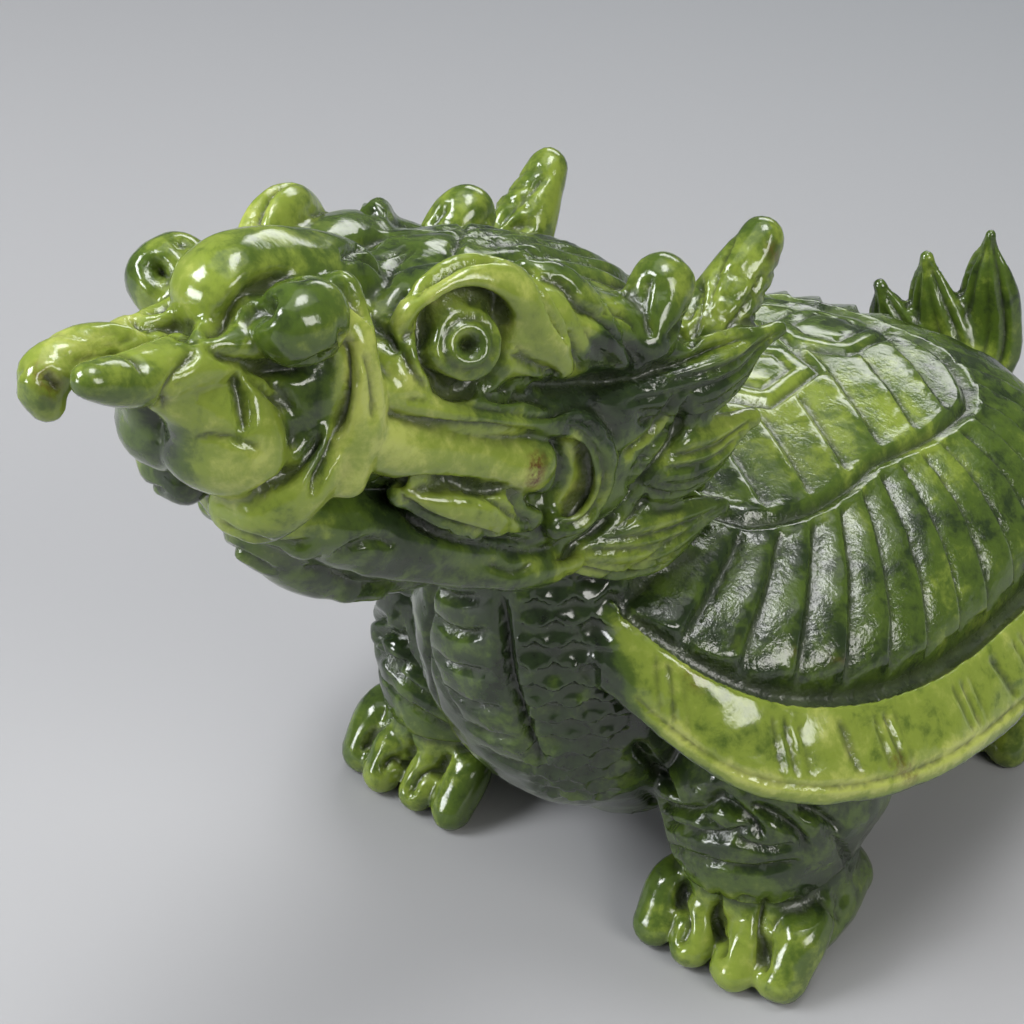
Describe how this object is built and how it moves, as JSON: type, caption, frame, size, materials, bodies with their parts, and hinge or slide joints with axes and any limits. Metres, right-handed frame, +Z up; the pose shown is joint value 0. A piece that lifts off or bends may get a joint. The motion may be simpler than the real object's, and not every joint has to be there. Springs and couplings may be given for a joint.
{
  "type": "jade dragon turtle carving",
  "caption": "Carved green jade dragon turtle standing on clawed feet, with raised horned head, ribbed domed shell and flame tail.",
  "frame": {"origin": "on the ground under the middle of the bounding box", "axes": "-Y is the way the animal looks, +X is its left side, +Z is up"},
  "size_m": [0.0728, 0.1414, 0.0881],
  "materials": {
    "jade": "wheel-carved and highly polished mottled green jade"
  },
  "bodies": {
    "root": {"dragon_turtle_carving": "jade"}
  },
  "joints": []
}
